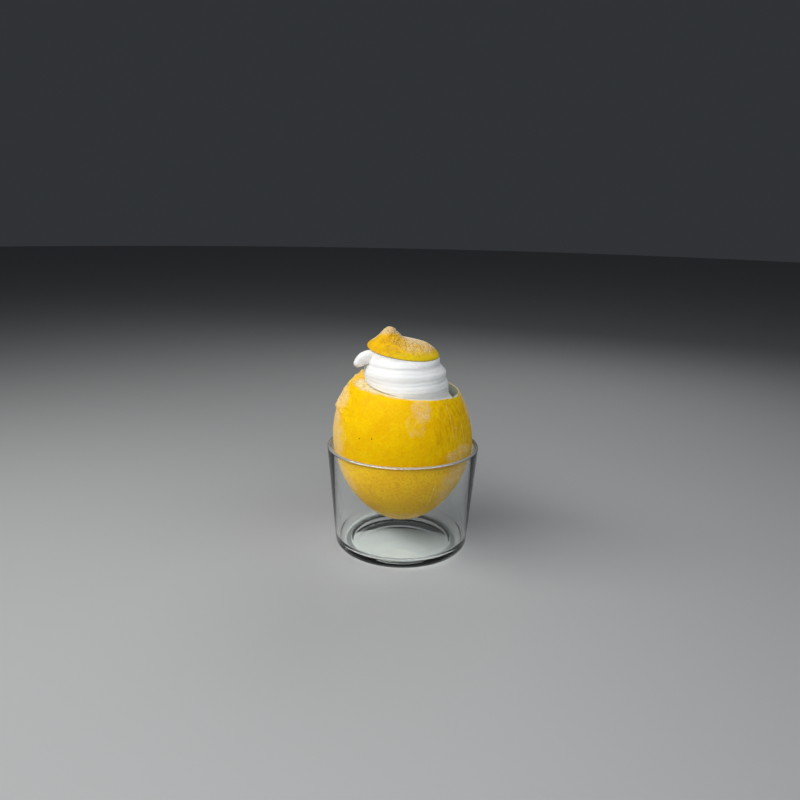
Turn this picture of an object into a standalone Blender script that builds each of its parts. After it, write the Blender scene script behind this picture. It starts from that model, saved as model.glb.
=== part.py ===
"""A frozen lemon filled with piped sorbet, its cut cap on top, seated in a small clear tumbler.

Metres, +Z up. The origin is the centre of the tumbler's underside, and -Y is the front.
Turns are angles round Z, from +X at the right through +Y at the back to -X at the left.
"""

import math

import bmesh
import bpy
from mathutils import Vector

# Driving dimensions of the tumbler
GLASS_HEIGHT = 0.0585
RIM_RADIUS = 0.04125
WALL_TAPER = 0.0857  # radius gained for each metre of height
WALL_THICKNESS = 0.0022
FLOOR_TOP = 0.0043  # height of the inner floor
OUTER_CORNER = 0.0055  # radius from the standing ring up to the wall
INNER_CORNER = 0.0040  # radius from the inner floor up to the wall
RING_WIDTH = 0.0030  # flat ring that everything stands on
PUSH_UP = 0.0012  # how far the middle of the underside is raised
PUSH_UP_STEP = 0.0020  # width of the step up from the standing ring
GLASS_SIDES = 60

# Driving dimensions of the lemon. A half has its height and the power of its rounded outline.
GIRTH_HEIGHT = 0.0607  # where the lemon is widest
LEMON_RADIUS = 0.0378
LEMON_ABOVE = (0.04486, 2.135)
LEMON_BELOW = (0.0454, 1.80)
LEMON_LEAN = -0.04  # sideways for each metre above the girth
DEPTH_STRETCH = 1.028  # wider from front to back, where it is wedged in the rim
LUMP_HEIGHT = 0.0014  # how far the lump on the left shoulder stands out
LUMP_FOOT = 0.0785  # height of its abrupt lower edge
LUMP_LENGTH = 0.0065  # how fast it fades above that edge
LUMP_WIDTH = math.radians(35)  # half its width, as a turn

# Driving dimensions of the hollow in the lemon, which is off centre at the cut
HOLLOW_RADIUS = 0.0330
HOLLOW_ABOVE = (0.0440, 2.0)
HOLLOW_BELOW = (0.0402, 1.80)
HOLLOW_SHIFT = (0.131, -0.065)  # to the right and to the back for each metre above the girth

# The slanted cuts: height on the axis, then the slopes to the right and to the back
CUT_PLANE = (0.09128, -0.0757, 0.027)
CAP_PLANE = (0.11012, -0.1249, 0.0705)
# Where the first cut's outer edge is uneven, as turn, height and half width: a dip, a tooth, a rise
CUT_WAVES = (
    (math.radians(172), -0.0016, math.radians(9)),
    (math.radians(157), 0.0050, math.radians(7)),
    (math.radians(133), 0.0012, math.radians(12)),
)
SHELL_SIDES = 54
SHELL_LOW_ROWS = 9
SHELL_SIDE_ROWS = 12
SHELL_EDGE_ROWS = 2
HOLLOW_SIDE_ROWS = 8
HOLLOW_LOW_ROWS = 7

# Driving dimensions of the sorbet
CAP_GAP = 0.0003  # air under the cap
WALL_GAP = 0.0006  # air between the sorbet and the hollow's wall
SWIRL_FOOT = 0.078  # where the filling starts to leave the hollow's wall
SWIRL_FREE = 0.089  # where it has its own outline
EDGE_SPREAD = 0.95  # how far it may lean out over the cut for each metre above it
BAND = 0.0078  # height of one turn of the piped rope
BAND_JOINT = 0.0961  # height of the groove between two turns, at the front
BAND_GROOVE = 0.0010  # depth of the grooves
# Outline of the swirl: height, half width, half depth, centre to the right, centre to the back
SWIRL_LEVELS = (
    (0.0850, 0.0222, 0.0242, 0.0020, -0.0021),
    (0.0922, 0.0223, 0.0243, 0.0015, -0.0020),
    (0.0990, 0.0221, 0.0230, 0.0004, -0.0014),
    (0.1045, 0.0196, 0.0212, -0.0003, -0.0008),
    (0.1085, 0.0184, 0.0193, -0.0002, -0.0004),
    (0.1130, 0.0175, 0.0184, -0.0006, 0.0),
)
SORBET_SIDES = 56
SORBET_LOW_ROWS = 8
SORBET_WALL_ROWS = 4
SWIRL_ROWS = 24

# Driving dimensions of the rope's loose end, which bends out to the left under the cap
CURL_ROOT = Vector((-0.0135, -0.0058, 0.1074))
CURL_BEND = Vector((-0.0223, -0.0074, 0.1112))
CURL_TIP = Vector((-0.0251, -0.0066, 0.1019))
CURL_ROOT_RADIUS = 0.0027
CURL_TIP_RADIUS = 0.0024
CURL_ROWS = 16
CURL_SIDES = 12

# Driving dimensions of the cap
CAP_HALF_WIDTH = 0.0191
CAP_HALF_DEPTH = 0.01975
CAP_TWIST = 0.252  # angle that its oval outline is turned by
CAP_CENTRE = -0.00083  # to the right of the tumbler's axis
CAP_DOME = 0.00544  # height of the plain dome
CAP_POWERS = (2.5, 0.91)  # how the dome meets its edge
# The lemon's tip and a low hump: place to the right and back, height and reach
CAP_HILLS = (
    (-0.00927, 0.00072, 0.00659, 0.00574),
    (0.01281, 0.00179, 0.00154, 0.00735),
)
CAP_SIDES = 48
CAP_ROWS = 13


def arc(centre, radius, start, end, steps):
    """Points on an arc as (distance from the axis, height), with angles in degrees."""
    angles = [math.radians(start + (end - start) * i / steps) for i in range(steps + 1)]
    return [(centre[0] + radius * math.cos(a), centre[1] + radius * math.sin(a)) for a in angles]


def mix(a, b, t):
    """Between a at 0 and b at 1."""
    return a + (b - a) * t


def soft_step(value, start, end):
    """0 before start, 1 after end, and a soft step between."""
    t = min(max((value - start) / (end - start), 0.0), 1.0)
    return t * t * (3.0 - 2.0 * t)


def plane_height(plane, x, y):
    """Height of a slanted cut over a point."""
    return plane[0] + plane[1] * x + plane[2] * y


def material(name, colour, roughness, transmission=0.0):
    """A Principled material with a linear colour."""
    made = bpy.data.materials.new(name)
    made.use_nodes = True
    shader = made.node_tree.nodes["Principled BSDF"]
    shader.inputs["Base Color"].default_value = (*colour, 1.0)
    shader.inputs["Roughness"].default_value = roughness
    shader.inputs["Metallic"].default_value = 0.0
    shader.inputs["Transmission Weight"].default_value = transmission
    made.diffuse_color = (*colour, 1.0)
    return made


def add_object(name, bm, finish):
    """A smooth-shaded object from a closed bmesh, with its faces turned outwards."""
    bmesh.ops.recalc_face_normals(bm, faces=bm.faces)
    if bm.calc_volume(signed=True) < 0:
        bmesh.ops.reverse_faces(bm, faces=bm.faces)
    mesh = bpy.data.meshes.new(name)
    bm.to_mesh(mesh)
    bm.free()
    mesh.shade_smooth()
    mesh.set_sharp_from_angle(angle=math.radians(40))
    mesh.materials.append(finish)
    made = bpy.data.objects.new(name, mesh)
    bpy.context.scene.collection.objects.link(made)
    return made


def turned(outline, sides):
    """A bmesh of an outline that starts and ends on the axis, spun all the way round."""
    bm = bmesh.new()
    verts = [bm.verts.new((across, 0.0, height)) for across, height in outline]
    edges = [bm.edges.new(pair) for pair in zip(verts, verts[1:])]
    bmesh.ops.spin(
        bm, geom=verts + edges, cent=(0, 0, 0), axis=(0, 0, 1), angle=math.tau, steps=sides, use_merge=True
    )
    bmesh.ops.remove_doubles(bm, verts=bm.verts, dist=1e-5)
    return bm


def turned_rows(last, sides, place):
    """A closed body whose rows of points are placed by a function of row and turn.

    Row 0 and the last row are single points on the axis, and the rest are rings.
    """
    rings = [(1.0, float(row)) for row in range(1, last)]
    bm = turned([(0.0, 0.0)] + rings + [(0.0, float(last))], sides)
    for vert in bm.verts:
        vert.co = place(round(vert.co.z), math.atan2(vert.co.y, vert.co.x))
    return bm


def make_tumbler():
    """Clear tumbler with a tapered wall, a rounded rim and a raised underside."""
    def outer_wall(height):
        return RIM_RADIUS - WALL_TAPER * (GLASS_HEIGHT - height)

    bead = WALL_THICKNESS / 2
    foot = outer_wall(OUTER_CORNER) - OUTER_CORNER
    ring = foot - RING_WIDTH
    inside = FLOOR_TOP + INNER_CORNER
    outline = [(0.0, PUSH_UP), (ring - PUSH_UP_STEP, PUSH_UP * 0.8), (ring, 0.0)]
    outline += arc((foot, OUTER_CORNER), OUTER_CORNER, -90, 0, 6)
    outline += arc((outer_wall(GLASS_HEIGHT - bead) - bead, GLASS_HEIGHT - bead), bead, 0, 180, 8)
    outline += arc((outer_wall(inside) - WALL_THICKNESS - INNER_CORNER, inside), INNER_CORNER, 0, -90, 5)
    outline += [(0.0, FLOOR_TOP)]
    glass = material("clear_glass", (0.80, 0.86, 0.84), 0.02, transmission=1.0)
    return add_object("glass_tumbler", turned(outline, GLASS_SIDES), glass)


def rounded_radius(height, radius, above, below):
    """Radius of a rounded body at a height, from its girth and its two halves."""
    half, power = above if height > GIRTH_HEIGHT else below
    share = min(abs(height - GIRTH_HEIGHT) / half, 1.0)
    return radius * (1.0 - share**power) ** (1.0 / power)


def skin_point(turn, height):
    """A point of the lemon's skin, with the lump on its left shoulder."""
    from_left = math.pi - abs(math.remainder(turn, math.tau))
    lump = 1.0 - soft_step(from_left, 0.3 * LUMP_WIDTH, LUMP_WIDTH)
    lump *= soft_step(height, LUMP_FOOT - 0.001, LUMP_FOOT + 0.001)
    lump *= LUMP_HEIGHT * math.exp(-max(height - LUMP_FOOT, 0.0) / LUMP_LENGTH)
    radius = rounded_radius(height, LEMON_RADIUS, LEMON_ABOVE, LEMON_BELOW) + lump
    lean = LEMON_LEAN * max(height - GIRTH_HEIGHT, 0.0)
    return (lean + radius * math.cos(turn), radius * DEPTH_STRETCH * math.sin(turn), height)


def hollow_section(height):
    """Half width, half depth and centre of the hollow at a height."""
    radius = rounded_radius(height, HOLLOW_RADIUS, HOLLOW_ABOVE, HOLLOW_BELOW)
    above = max(height - GIRTH_HEIGHT, 0.0)
    return (radius, radius * DEPTH_STRETCH, HOLLOW_SHIFT[0] * above, HOLLOW_SHIFT[1] * above)


def hollow_point(turn, height):
    """A point of the hollow's wall."""
    wide, deep, right, back = hollow_section(height)
    return (right + wide * math.cos(turn), back + deep * math.sin(turn), height)


def cut_wave(turn):
    """How far the first cut's uneven outer edge rises above its plane at a turn."""
    return sum(
        height * math.exp(-((math.remainder(turn - at, math.tau) / width) ** 2))
        for at, height, width in CUT_WAVES
    )


def where_cut(side_point, turn, plane, lift):
    """The point at which a side meets a slanted plane that is raised by lift."""
    height = plane[0]
    for _ in range(8):
        x, y, _ = side_point(turn, height)
        height = plane_height(plane, x, y) + lift
    return side_point(turn, height)


def low_height(row, rows, bottom):
    """Height of a row of the rounded lower half, from its lowest point to the girth."""
    return GIRTH_HEIGHT - (GIRTH_HEIGHT - bottom) * math.cos(math.pi / 2 * row / rows)


def make_shell():
    """The lemon's skin and pith: up the outside, across the cut and down the hollow."""
    lowest = GIRTH_HEIGHT - LEMON_BELOW[0]
    hollow_lowest = GIRTH_HEIGHT - HOLLOW_BELOW[0]
    girth = SHELL_LOW_ROWS
    rim = girth + SHELL_SIDE_ROWS
    inner_rim = rim + SHELL_EDGE_ROWS
    inner_girth = inner_rim + HOLLOW_SIDE_ROWS
    last = inner_girth + HOLLOW_LOW_ROWS

    def place(row, turn):
        if row <= girth:
            return skin_point(turn, low_height(row, SHELL_LOW_ROWS, lowest))
        if row >= inner_girth:
            return hollow_point(turn, low_height(last - row, HOLLOW_LOW_ROWS, hollow_lowest))
        outer = where_cut(skin_point, turn, CUT_PLANE, cut_wave(turn))
        if row <= rim:
            return skin_point(turn, mix(GIRTH_HEIGHT, outer[2], (row - girth) / SHELL_SIDE_ROWS))
        inner = where_cut(hollow_point, turn, CUT_PLANE, 0.0)
        if row >= inner_rim:
            return hollow_point(turn, mix(GIRTH_HEIGHT, inner[2], (inner_girth - row) / HOLLOW_SIDE_ROWS))
        across = (row - rim) / SHELL_EDGE_ROWS
        return [mix(a, b, across) for a, b in zip(outer, inner)]

    peel = material("lemon_peel", (0.93, 0.58, 0.004), 0.45)
    return add_object("lemon_shell", turned_rows(last, SHELL_SIDES, place), peel)


def swirl_section(height):
    """Half width, half depth and centre of the swirl at a height, between its named levels."""
    for low, high in zip(SWIRL_LEVELS, SWIRL_LEVELS[1:]):
        if height <= high[0]:
            break
    t = soft_step(height, low[0], high[0])
    return [mix(a, b, t) for a, b in zip(low[1:], high[1:])]


def groove(turn, height):
    """Depth of the groove between turns: each turn lies level in front and climbs at the back."""
    climb = soft_step(turn % math.tau, 0.1 * math.pi, 0.9 * math.pi)
    share = ((height - BAND_JOINT) / BAND - climb) % 1.0
    return BAND_GROOVE * (1.0 - math.sqrt(1.0 - (2.0 * share - 1.0) ** 2))


def sorbet_point(turn, height):
    """A point of the sorbet's side: along the hollow's wall low down, piped turns above the cut."""
    free = soft_step(height, SWIRL_FOOT, SWIRL_FREE)
    sections = zip(hollow_section(height), swirl_section(height))
    wide, deep, right, back = [mix(a, b, free) for a, b in sections]
    carved = groove(turn, height) * free
    x = right + (wide - carved) * math.cos(turn)
    y = back + (deep - carved) * math.sin(turn)
    cut = plane_height(CUT_PLANE, x, y)
    wide, deep, right, back = hollow_section(min(height, cut))
    room = max(height - cut - 2 * WALL_GAP, 0.0) * EDGE_SPREAD - WALL_GAP
    out = max(math.hypot((x - right) / (wide + room), (y - back) / (deep + room)), 1.0)
    return (right + (x - right) / out, back + (y - back) / out, height)


def curl_place(row, turn):
    """A point of the rope's loose end, a tube along a bent line that closes round at its tip."""
    along = math.sin(math.pi / 2 * row / CURL_ROWS)
    centre = CURL_ROOT * (1 - along) ** 2 + CURL_BEND * 2 * along * (1 - along) + CURL_TIP * along**2
    forwards = ((CURL_BEND - CURL_ROOT) * (1 - along) + (CURL_TIP - CURL_BEND) * along).normalized()
    upwards = forwards.cross(Vector((0, 1, 0))).normalized()
    sideways = forwards.cross(upwards)
    full = mix(CURL_ROOT_RADIUS, CURL_TIP_RADIUS, along)
    to_tip = (CURL_TIP - centre).length
    short = max(1.0 - to_tip / full, 0.0) if row < CURL_ROWS else 1.0
    radius = full * math.sqrt(1.0 - short**2) * min(row, 1)
    return centre + radius * (upwards * math.cos(turn) + sideways * math.sin(turn))


def make_sorbet():
    """White sorbet that fills the lemon and stands above it in piped turns, with its loose end."""
    lowest = GIRTH_HEIGHT - HOLLOW_BELOW[0] + 2.5 * WALL_GAP
    girth = SORBET_LOW_ROWS
    foot = girth + SORBET_WALL_ROWS
    top = foot + SWIRL_ROWS
    last = top + 1

    def place(row, turn):
        if row == last:
            x, y = SWIRL_LEVELS[-1][3:]
            return (x, y, plane_height(CAP_PLANE, x, y) - CAP_GAP)
        if row <= girth:
            height = low_height(row, SORBET_LOW_ROWS, lowest)
            x, y, _ = sorbet_point(turn, height)
            return (x * min(row, 1), y * min(row, 1), height)
        if row <= foot:
            return sorbet_point(turn, mix(GIRTH_HEIGHT, SWIRL_FOOT, (row - girth) / SORBET_WALL_ROWS))
        edge = where_cut(sorbet_point, turn, CAP_PLANE, -CAP_GAP)
        return sorbet_point(turn, mix(SWIRL_FOOT, edge[2], (row - foot) / SWIRL_ROWS))

    white = material("lemon_sorbet", (0.90, 0.91, 0.90), 0.55)
    sorbet = add_object("sorbet", turned_rows(last, SORBET_SIDES, place), white)
    curl = add_object("curl", turned_rows(CURL_ROWS, CURL_SIDES, curl_place), white)
    joining = sorbet.modifiers.new("curl", "BOOLEAN")
    joining.operation = "UNION"
    joining.object = curl
    bpy.context.view_layer.update()
    joined = sorbet.evaluated_get(bpy.context.evaluated_depsgraph_get())
    sorbet.data = bpy.data.meshes.new_from_object(joined)
    sorbet.modifiers.clear()
    bpy.data.objects.remove(curl)
    return sorbet


def make_cap():
    """The lemon's cut end: a low dome with its tip to the left, flat underneath."""
    def place(row, turn):
        under = row == 0
        out = 0.0 if under else math.sin(math.pi / 2 * (CAP_ROWS - row) / (CAP_ROWS - 1))
        across = CAP_HALF_WIDTH * out * math.cos(turn)
        along = CAP_HALF_DEPTH * out * math.sin(turn)
        x = CAP_CENTRE + across * math.cos(CAP_TWIST) - along * math.sin(CAP_TWIST)
        y = across * math.sin(CAP_TWIST) + along * math.cos(CAP_TWIST)
        dome = CAP_DOME + sum(
            height * math.exp(-((x - right) ** 2 + (y - back) ** 2) / reach**2)
            for right, back, height, reach in CAP_HILLS
        )
        rise = 0.0 if under else dome * (1.0 - min(out, 1.0) ** CAP_POWERS[0]) ** CAP_POWERS[1]
        return (x, y, plane_height(CAP_PLANE, x, y) + rise)

    peel = material("lemon_cap_peel", (0.80, 0.48, 0.03), 0.5)
    return add_object("lemon_cap", turned_rows(CAP_ROWS, CAP_SIDES, place), peel)


def main():
    for old in list(bpy.data.objects):
        bpy.data.objects.remove(old)
    make_tumbler()
    make_shell()
    make_sorbet()
    make_cap()


main()
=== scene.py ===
# %% [markdown]
# # A frozen lemon filled with sorbet, standing in a small glass
#
# The real thing is a hollowed lemon, piped full of white sorbet, frozen hard, and wedged in a
# low tumbler with its cut end back on top as a cap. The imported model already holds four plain
# solids at their real size. This script dresses them: each piece is modelled again from the same
# named sizes with far more points, and gets the relief, frost and finish of the real one.
#
# Everything is in metres, +Z is up, and -Y is the front. A *turn* is an angle round Z that
# starts at +X on the right and passes +Y at the back.

# %% Load the frame
import random
from math import atan2, cos, exp, hypot, pi, radians, remainder, sin, sqrt, tau

import bmesh
import bpy
from mathutils import Matrix, Vector, noise


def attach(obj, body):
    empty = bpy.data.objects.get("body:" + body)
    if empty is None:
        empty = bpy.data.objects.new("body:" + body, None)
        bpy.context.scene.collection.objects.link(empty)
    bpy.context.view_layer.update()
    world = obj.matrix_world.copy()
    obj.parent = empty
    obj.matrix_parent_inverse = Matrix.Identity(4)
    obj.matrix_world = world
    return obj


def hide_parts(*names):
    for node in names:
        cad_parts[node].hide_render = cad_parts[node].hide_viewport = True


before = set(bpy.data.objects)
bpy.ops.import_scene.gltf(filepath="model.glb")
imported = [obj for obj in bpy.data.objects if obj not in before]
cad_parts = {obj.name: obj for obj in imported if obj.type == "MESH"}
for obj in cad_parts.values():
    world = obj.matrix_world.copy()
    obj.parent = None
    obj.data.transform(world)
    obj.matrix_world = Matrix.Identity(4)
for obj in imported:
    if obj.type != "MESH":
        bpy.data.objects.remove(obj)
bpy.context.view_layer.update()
print("nodes:", sorted(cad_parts))

# %% [markdown]
# ## The camera
#
# A photograph pins its camera down when it holds something round that stands level. Here the
# flatness of the rim's and the base's ellipses gives the camera's height, and their widths give
# its distance and its lens.

# %% Camera
CAMERA_PLACE = Vector((0.0, -0.39241, 0.18440))
CAMERA_DOWN = radians(14.525)
CAMERA_YAW = -0.0051
CAMERA_ROLL = 0.0203
CAMERA_LENS = 33.80  # in millimetres, on a square sensor of 36


def add_object(name, data):
    """A new object in the scene that shows this data."""
    made = bpy.data.objects.new(name, data)
    bpy.context.scene.collection.objects.link(made)
    return made


def add_camera():
    flat = Vector((sin(CAMERA_YAW), cos(CAMERA_YAW), 0.0))
    forwards = flat * cos(CAMERA_DOWN) - Vector((0, 0, sin(CAMERA_DOWN)))
    level = forwards.cross(Vector((0, 0, 1))).normalized()
    upright = level.cross(forwards)
    right = level * cos(CAMERA_ROLL) + upright * sin(CAMERA_ROLL)
    up = upright * cos(CAMERA_ROLL) - level * sin(CAMERA_ROLL)
    data = bpy.data.cameras.new("camera")
    data.sensor_width = 36.0
    data.lens = CAMERA_LENS
    data.clip_start = 0.01
    camera = add_object("camera", data)
    turned = Matrix((right, up, -forwards)).transposed().to_4x4()
    camera.matrix_world = Matrix.Translation(CAMERA_PLACE) @ turned
    bpy.context.scene.camera = camera


add_camera()
print("camera at", [round(v, 3) for v in CAMERA_PLACE])

# %% [markdown]
# ## Small helpers for shapes
#
# Every round piece here is a turned shape that has gone a little out of true. It starts as a
# flat sheet of squares, whose rows are the rings of the shape from its first point to its last,
# and is rolled up: each point moves to where a function of its ring and its turn says. The sheet
# takes care of the faces, and the function holds the form. Where the two sides of the sheet
# meet, and where a ring shrinks to a point, the doubled points are merged.

# %% Shape helpers
def mix(a, b, t):
    """Between a at 0 and b at 1."""
    return a + (b - a) * t


def soft_step(value, start, end):
    """0 before start, 1 after end, and a soft step between."""
    t = min(max((value - start) / (end - start), 0.0), 1.0)
    return t * t * (3.0 - 2.0 * t)


def bend(a, corner, b, t):
    """A point on the curve that leaves a towards corner and arrives at b."""
    return mix(mix(a, corner, t), mix(corner, b, t), t)


def lumps(point, size, seed=0.0):
    """Smooth noise from about -1 to 1, with lumps of about this size in metres."""
    return noise.noise(Vector(point) / size + Vector((seed, 7.3 * seed, -3.1 * seed)))


def layered(point, layers):
    """Lumps on lumps: the sum of layers of (height, size, seed)."""
    return sum(height * lumps(point, size, seed) for height, size, seed in layers)


def rolled_sheet(last, sides, place):
    """A closed bmesh whose rings are placed by a function of ring number and turn."""
    bm = bmesh.new()
    bmesh.ops.create_grid(bm, x_segments=sides, y_segments=last, size=0.5)
    ring_of = bm.verts.layers.float.new("ring")
    for vert in bm.verts:
        vert[ring_of] = round((vert.co.y + 0.5) * last)
        vert.co = place(round(vert[ring_of]), tau * vert.co.x)
    bmesh.ops.remove_doubles(bm, verts=bm.verts, dist=1e-6)
    bmesh.ops.recalc_face_normals(bm, faces=bm.faces)
    if bm.calc_volume(signed=True) < 0:
        bmesh.ops.reverse_faces(bm, faces=bm.faces)
    return bm


def raise_relief(bm, relief):
    """Moves each point out along its normal by relief(point, ring)."""
    ring_of = bm.verts.layers.float["ring"]
    bm.normal_update()
    for vert, normal in [(vert, vert.normal.copy()) for vert in bm.verts]:
        vert.co += normal * relief(vert.co, vert[ring_of])


def paint(bm, name, amount):
    """Stores amount(point, ring) on each point, for a material to read."""
    ring_of = bm.verts.layers.float["ring"]
    layer = bm.verts.layers.float.new(name)
    for vert in bm.verts:
        vert[layer] = amount(vert.co, vert[ring_of])


def add_mesh(name, bm, material=None):
    """An object at the origin with a bmesh's shape, which uses the bmesh up."""
    mesh = bpy.data.meshes.new(name)
    bm.to_mesh(mesh)
    bm.free()
    if material:
        mesh.materials.append(material)
    return add_object(name, mesh)


def add_piece(name, bm, material):
    """A smooth-shaded piece on the object's one body, finished with a material."""
    piece = add_mesh(name, bm, material)
    piece.data.shade_smooth()
    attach(piece, "root")
    print(f"{name}: {len(piece.data.vertices)} points, {len(piece.data.polygons)} faces")
    return piece


# %% [markdown]
# ## Small helpers for materials
#
# A material is a tree of nodes. One helper adds a node and fills its sockets with values or
# with other nodes' outputs, and the others wrap the nodes that are used most.

# %% Node helpers
def fill(made, tree, inputs):
    """Fills a node's sockets with values, or links them to other nodes' outputs."""
    for key, value in inputs.items():
        if isinstance(value, bpy.types.NodeSocket):
            tree.links.new(value, made.inputs[key])
        else:
            made.inputs[key].default_value = value


def add_node(tree, kind, inputs=None, **settings):
    """A node with its settings and its filled sockets."""
    made = tree.nodes.new("ShaderNode" + kind)
    for name, value in settings.items():
        setattr(made, name, value)
    fill(made, tree, inputs or {})
    return made


def calculate(tree, operation, *values):
    """The result of a Math node."""
    return add_node(tree, "Math", dict(enumerate(values)), operation=operation).outputs[0]


def multiply(tree, a, b):
    return calculate(tree, "MULTIPLY", a, b)


def fade(tree, value, start, end, low=0.0, high=1.0):
    """low where value is before start, high after end, with a soft step between."""
    inputs = {"Value": value, "From Min": start, "From Max": end, "To Min": low, "To Max": high}
    return add_node(tree, "MapRange", inputs, interpolation_type="SMOOTHSTEP").outputs[0]


def blend(tree, share, a, b):
    """Colour a where share is 0 and colour b where it is 1."""
    colours = [(*c, 1.0) if isinstance(c, tuple) and len(c) == 3 else c for c in (a, b)]
    made = add_node(tree, "Mix", {0: share, 6: colours[0], 7: colours[1]}, data_type="RGBA")
    return made.outputs[2]


def tinted(tree, colour, *layers):
    """A colour with tints laid over it in turn, each as (where it lies, how strongly, tint)."""
    for share, most, tint in layers:
        colour = blend(tree, multiply(tree, share, most), colour, tint)
    return colour


def bumpy(tree, height, strength, distance):
    """The normal of a surface with this fine height on it."""
    inputs = {"Height": height, "Strength": strength, "Distance": distance}
    return add_node(tree, "Bump", inputs).outputs[0]


def cloudy(tree, vector, size, detail=3.0, stretch=(1.0, 1.0, 1.0)):
    """Noise from 0 to 1 with clouds of about this size in metres."""
    scaled = add_node(tree, "Mapping", {"Vector": vector, "Scale": stretch}).outputs[0]
    inputs = {"Vector": scaled, "Scale": 1.0 / size, "Detail": detail, "Roughness": 0.6}
    return add_node(tree, "TexNoise", inputs).outputs[0]


def painted(tree, name):
    """The amount that paint() stored under this name."""
    return add_node(tree, "Attribute", attribute_name=name).outputs["Fac"]


def start_material(name):
    """A new material: its tree, its shader and its Object coordinates."""
    made = bpy.data.materials.new(name)
    made.use_nodes = True
    tree = made.node_tree
    shader = tree.nodes["Principled BSDF"]
    place = add_node(tree, "TexCoord").outputs["Object"]
    return made, tree, shader, place


def start_group(name, inputs, outputs):
    """A new node group with its named sockets: the group, what it is given, and its result."""
    group = bpy.data.node_groups.new(name, "ShaderNodeTree")
    for way, sockets in (("INPUT", inputs), ("OUTPUT", outputs)):
        for socket in sockets:
            kind = "NodeSocketVector" if socket == "Vector" else "NodeSocketFloat"
            group.interface.new_socket(socket, in_out=way, socket_type=kind)
    return group, group.nodes.new("NodeGroupInput").outputs, group.nodes.new("NodeGroupOutput")


# %% [markdown]
# ## Frost, once for every surface
#
# Hoarfrost grows on everything that comes out of the freezer: as a haze, then as patches with
# ragged edges, and inside the patches as single sparkling crystals. Peel, pith and cap all need
# it, so it is a node group. Its *Amount* comes from the piece, its *Cover* says how white the
# surface is there, and its *Height* makes the crystals stand up.

# %% Frost group
FROST_PATCH = 0.0045
FROST_CRYSTAL = 0.0007


def make_frost_group():
    group, given, result = start_group("hoarfrost", ("Vector", "Amount"), ("Cover", "Height"))
    patches = cloudy(group, given["Vector"], FROST_PATCH, detail=5.0)
    crystals = cloudy(group, given["Vector"], FROST_CRYSTAL, detail=2.0)
    ragged = calculate(group, "ADD", calculate(group, "SUBTRACT", patches, 0.5), given["Amount"])
    patch = fade(group, ragged, 0.25, 0.78)
    speckle = fade(group, crystals, 0.35, 0.70, 0.45, 1.0)
    fill(result, group, {
        "Cover": multiply(group, patch, speckle),
        "Height": multiply(group, patch, crystals),
    })
    return group


FROST = make_frost_group()


def frosted(tree, place, amount):
    """Cover and height of the frost where a surface has this amount."""
    made = add_node(tree, "Group", {"Vector": place, "Amount": amount}, node_tree=FROST)
    return made.outputs["Cover"], made.outputs["Height"]


print("frost group:", [item.name for item in FROST.interface.items_tree])

# %% [markdown]
# ## Pores, once for the shell and the cap
#
# The skin of a lemon is dotted with oil glands, a bit over a millimetre apart. Cells of a
# Voronoi pattern have just that look: each gland is a shallow dimple with a deeper colour.

# %% Pore group
PORE_SHIFT = 0.0004  # how far a pore may stray from its cell


def make_pore_group():
    group, given, result = start_group("peel_pores", ("Vector", "Spacing"), ("Pore",))
    scale = calculate(group, "DIVIDE", 1.0, given["Spacing"])
    wobble = add_node(group, "TexNoise", {"Vector": given["Vector"], "Scale": 400.0}).outputs["Color"]
    inputs = {0: wobble, 1: (PORE_SHIFT, PORE_SHIFT, PORE_SHIFT), 2: given["Vector"]}
    shifted = add_node(group, "VectorMath", inputs, operation="MULTIPLY_ADD").outputs[0]
    cells = add_node(group, "TexVoronoi", {"Vector": shifted, "Scale": scale, "Randomness": 0.9})
    fill(result, group, {"Pore": fade(group, cells.outputs["Distance"], 0.10, 0.45, 1.0, 0.0)})
    return group


PORES = make_pore_group()


def pored(tree, place, spacing):
    """1 in the middle of each pore and 0 between them."""
    inputs = {"Vector": place, "Spacing": spacing}
    return add_node(tree, "Group", inputs, node_tree=PORES).outputs["Pore"]


print("pore group:", [item.name for item in PORES.interface.items_tree])

# %% [markdown]
# ## The tumbler
#
# A pressed tumbler is a thick-walled cup with a fire-rounded rim, a rounded foot and a slightly
# raised underside, so that it stands on a ring. Its looks come almost wholly from refraction,
# and refraction shows every facet. So the wall is one outline with true arcs, spun in fine
# steps, as a closed solid of glass with a real thickness. It reflects a little less than real
# glass, so that the lemon keeps its colour behind it. Its rim glows, because light runs up
# inside the wall and leaves there after dozens of bounces. A renderer gives up after a few and
# shows it black, so the rim's faces have a glass of their own, which is partly white, lets some
# of the view straight through and shines more.

# %% Tumbler
GLASS_HEIGHT = 0.0585
RIM_RADIUS = 0.04125
WALL_TAPER = 0.0857  # radius gained for each metre of height
WALL_THICKNESS = 0.0022
FLOOR_TOP = 0.0043
OUTER_CORNER = 0.0055
INNER_CORNER = 0.0040
RING_WIDTH = 0.0030
PUSH_UP = 0.0012
PUSH_UP_STEP = 0.0020
GLASS_SIDES = 240
GLASS_TINT = (0.985, 0.995, 0.99, 1.0)
GLASS_REFLECTS = (0.4, 0.4, 0.4, 1.0)
UNBENT_TINT = (0.93, 0.95, 0.94, 1.0)
RIM_DEPTH = 0.0008  # how far down the rim's own glass reaches
RIM_WHITE = 0.65
RIM_UNBENT = 0.40  # share of the view that passes straight through the rim
RIM_SHINE = 2.0
RIM_SHINE_TINT = (1.0, 0.94, 0.84, 1.0)


def arc(centre, radius, start, end, steps):
    """Points on an arc as (distance from the axis, height), with angles in degrees."""
    angles = [radians(mix(start, end, i / steps)) for i in range(steps + 1)]
    return [(centre[0] + radius * cos(a), centre[1] + radius * sin(a)) for a in angles]


def outer_wall(height):
    return RIM_RADIUS - WALL_TAPER * (GLASS_HEIGHT - height)


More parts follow.
